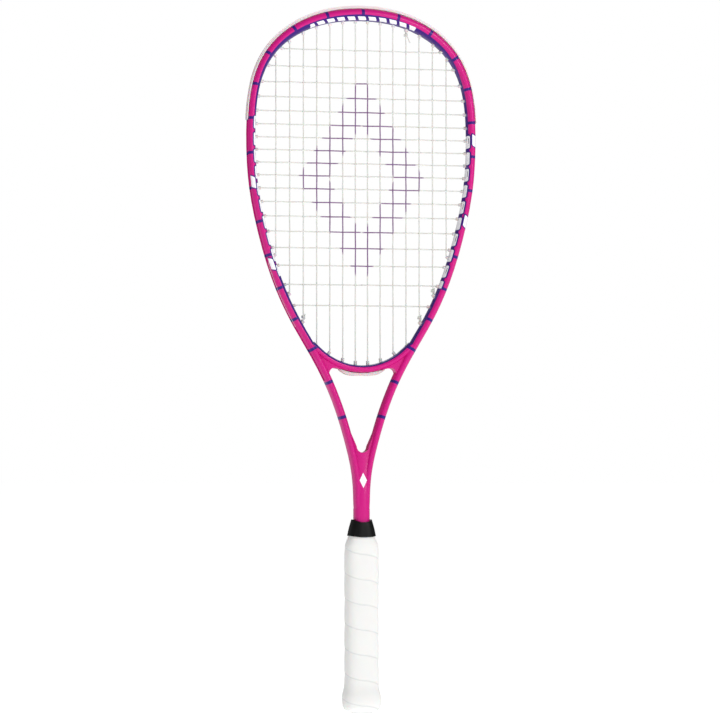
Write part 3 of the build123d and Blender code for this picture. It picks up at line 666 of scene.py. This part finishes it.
# ---- Wound grip ------------------------------------------------------------------------------------------
def handle_profile(node):
    """Height, half width and half depth of the CAD sleeve's outside, a little smoothed."""
    tree = BVHTree.FromObject(node, bpy.context.evaluated_depsgraph_get())
    low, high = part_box(node.name)
    far = 2 * high.x
    heights = np.linspace(low.z + PROFILE_MARGIN, high.z - PROFILE_MARGIN, PROFILE_LEVELS)
    wide = [tree.ray_cast(Vector((far, 0, z)), Vector((-1, 0, 0)))[0].x for z in heights]
    deep = [tree.ray_cast(Vector((0, far, z)), Vector((0, -1, 0)))[0].y for z in heights]
    heights[0], heights[-1] = low.z, high.z
    return heights, smoothed(wide), smoothed(deep)


def smoothed(values):
    """Running mean that keeps both ends."""
    weights = np.ones(PROFILE_BLUR) / PROFILE_BLUR
    padded = np.pad(values, PROFILE_BLUR // 2, mode="reflect", reflect_type="odd")
    return np.convolve(padded, weights, mode="valid")


def eased_step(t):
    """Smooth rise from 0 to 1."""
    t = min(1.0, max(0.0, t))
    return t * t * (3 - 2 * t)


def wrap_height(turn):
    """How far the tape stands out, and how near a seam it is, which weights the painted seam shade, at a
    place counted in turns of the tape.
    """
    part = turn - math.floor(turn)
    above_seam, below_seam = part * WRAP_PITCH, (1 - part) * WRAP_PITCH
    lip = WRAP_LIP * (1 - part) * eased_step(above_seam / WRAP_SLOPE)
    crown = WRAP_CROWN * math.sin(math.pi * part)
    # weight of the painted grey shade, highest in the seam groove
    seam = max(1 - above_seam / WRAP_SLOPE, 1 - below_seam / (WRAP_SLOPE / 2), 0.0)
    return lip + crown - WRAP_LIP, seam


def handle_point(angle, half_x, half_y, z):
    """Point of a superellipse round the axis, at an angle from its left edge over the front."""
    across, forward = -math.cos(angle), -math.sin(angle)
    x = half_x * math.copysign(abs(across) ** (2 / HANDLE_POWER), across)
    y = half_y * math.copysign(abs(forward) ** (2 / HANDLE_POWER), forward)
    return x, y, z


def wrap_points(heights, wide, deep):
    """Points of the tape's outside and then its inside, in rows from the foot up, and the weight of the
    painted seam shade at each.
    """
    low, high = heights[0], heights[-1]
    points, seams = [], []
    for outside_shell in (True, False):
        for row in range(WRAP_ROWS + 1):
            z = low + (high - low) * row / WRAP_ROWS
            half_x = np.interp(z, heights, wide)
            half_y = np.interp(z, heights, deep)
            ends = eased_step(min(z - low, high - z) / WRAP_ENDS)
            for column in range(WRAP_COLUMNS):
                turn = column / WRAP_COLUMNS
                rise, seam = wrap_height((z - WRAP_PHASE) / WRAP_PITCH + turn)
                grow = rise * ends if outside_shell else -WRAP_THICKNESS
                points.append(handle_point(2 * math.pi * turn, half_x + grow, half_y + grow, z))
                seams.append(seam * ends if outside_shell else 0.0)
    return points, seams


def wrap_faces():
    """Quads of both shells, and of the rings that join them at the top and at the foot."""
    rows, columns = WRAP_ROWS + 1, WRAP_COLUMNS

    def corner(shell, row, column):
        return (shell * rows + row) * columns + column % columns

    faces = []
    top = WRAP_ROWS
    for column in range(columns):
        following = column + 1
        for row in range(WRAP_ROWS):
            faces.append([corner(0, row, column), corner(0, row, following), corner(0, row + 1, following),
                          corner(0, row + 1, column)])
            faces.append([corner(1, row, column), corner(1, row + 1, column), corner(1, row + 1, following),
                          corner(1, row, following)])
        faces.append([corner(0, top, column), corner(0, top, following), corner(1, top, following),
                      corner(1, top, column)])
        faces.append([corner(0, 0, following), corner(0, 0, column), corner(1, 0, column),
                      corner(1, 0, following)])
    return faces


def wound_grip(node):
    """Closed sleeve of helically wound tape on the CAD sleeve's outside."""
    points, seams = wrap_points(*handle_profile(node))
    mesh = bpy.data.meshes.new("grip_wrap")
    mesh.from_pydata(points, [], wrap_faces())
    # the seam attribute carries the weight of the painted seam shade
    mesh.attributes.new("seam", "FLOAT", "POINT").data.foreach_set("value", np.array(seams, np.float32))
    mesh.polygons.foreach_set("use_smooth", [True] * len(mesh.polygons))
    mesh.materials.append(wrap_material())
    wrap = bpy.data.objects.new("grip_wrap", mesh)
    bpy.context.scene.collection.objects.link(wrap)
    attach(wrap, "racket")
    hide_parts("grip_tape")


# ---- Stage -----------------------------------------------------------------------------------------------
def make_floor(low_z):
    """Plain pale floor under the butt."""
    bpy.ops.mesh.primitive_circle_add(vertices=64, radius=FLOOR_RADIUS, fill_type="NGON",
                                      location=(0, 0, low_z))
    floor = bpy.context.object
    floor.name = "floor"
    material, tree, shader = new_material("floor", Roughness=0.9, Emission_Color=WHITE,
                                          Specular_IOR_Level=0.0)
    grain = noise(tree, place(tree), FLOOR_GRAIN)
    feed(tree, shader.inputs["Base Color"], mixed(tree, FLOOR_WHITE, FLOOR_GREY, grain))
    mirrored = Field(tree, tree.nodes.new("ShaderNodeLightPath").outputs["Is Glossy Ray"])
    feed(tree, shader.inputs["Emission Strength"], mirrored * (MIRRORED_LIGHT - FLOOR_GLOW) + FLOOR_GLOW)
    floor.data.materials.append(material)


def make_world():
    """White surroundings for the camera; grey as a light, and darker still in mirroring surfaces."""
    world = bpy.data.worlds.new("studio")
    world.use_nodes = True
    tree = world.node_tree
    tree.nodes.clear()
    path = tree.nodes.new("ShaderNodeLightPath")
    seen = Field(tree, path.outputs["Is Camera Ray"])
    mirrored = Field(tree, path.outputs["Is Glossy Ray"])
    background = tree.nodes.new("ShaderNodeBackground")
    feed(tree, background.inputs["Color"], WHITE)
    strength = seen * (1.0 - SURROUND_LIGHT) + mirrored * (MIRRORED_LIGHT - SURROUND_LIGHT) + SURROUND_LIGHT
    feed(tree, background.inputs["Strength"], strength)
    output = tree.nodes.new("ShaderNodeOutputWorld")
    tree.links.new(background.outputs[0], output.inputs["Surface"])
    bpy.context.scene.world = world


def make_lamp(name, position, size, power, target):
    """Rectangular soft light that aims at the target."""
    lamp = bpy.data.lights.new(name, "AREA")
    lamp.shape = "RECTANGLE"
    lamp.size, lamp.size_y = size
    lamp.energy = power
    light = bpy.data.objects.new(name, lamp)
    light.location = position
    light.rotation_euler = (Vector(target) - Vector(position)).to_track_quat("-Z", "Y").to_euler()
    bpy.context.scene.collection.objects.link(light)


def make_camera():
    """Camera a little below the racket's middle and to its left."""
    a, e = math.radians(CAMERA_AZIMUTH), math.radians(CAMERA_ELEVATION)
    back = Vector((math.sin(a) * math.cos(e), -math.cos(a) * math.cos(e), math.sin(e)))
    data = bpy.data.cameras.new("camera")
    data.lens = CAMERA_LENS
    data.clip_start, data.clip_end = CAMERA_RANGE
    camera = bpy.data.objects.new("camera", data)
    camera.location = Vector(CAMERA_TARGET) + back * CAMERA_DISTANCE
    camera.rotation_mode = "QUATERNION"
    camera.rotation_quaternion = (-back).to_track_quat("-Z", "Y")
    bpy.context.scene.collection.objects.link(camera)
    bpy.context.scene.camera = camera


# ---- Put together ----------------------------------------------------------------------------------------
dress("frame", paint_material(mark_frame(nodes["frame"])))
dress("bumper_guard", nylon_material("guard_nylon", GUARD_NYLON))
strip_nylon = nylon_material("strip_nylon", STRIP_NYLON)
for strip in ("grommet_strip_left", "grommet_strip_right", "grommet_strip_throat"):
    dress(strip, strip_nylon)
dress("main_string", string_material("string_main", MAIN_TWIST))
dress("cross_string", string_material("string_cross", CROSS_TWIST))
dress("grip_collar", rubber_material())
foam = foam_material()
for core in ("bridge_core", "handle_pallet", "shaft_plug"):
    dress(core, foam)
dress("butt_cap", cap_material())
dress("butt_cap_staples", steel_material())
dress("finishing_tape", tape_material())
wound_grip(nodes["grip_tape"])

middle = (cad_box[0] + cad_box[1]) / 2
make_floor(cad_box[0].z)
make_world()
for lamp in LAMPS:
    make_lamp(*lamp, middle)
make_camera()
bpy.context.scene.view_settings.view_transform = "Standard"
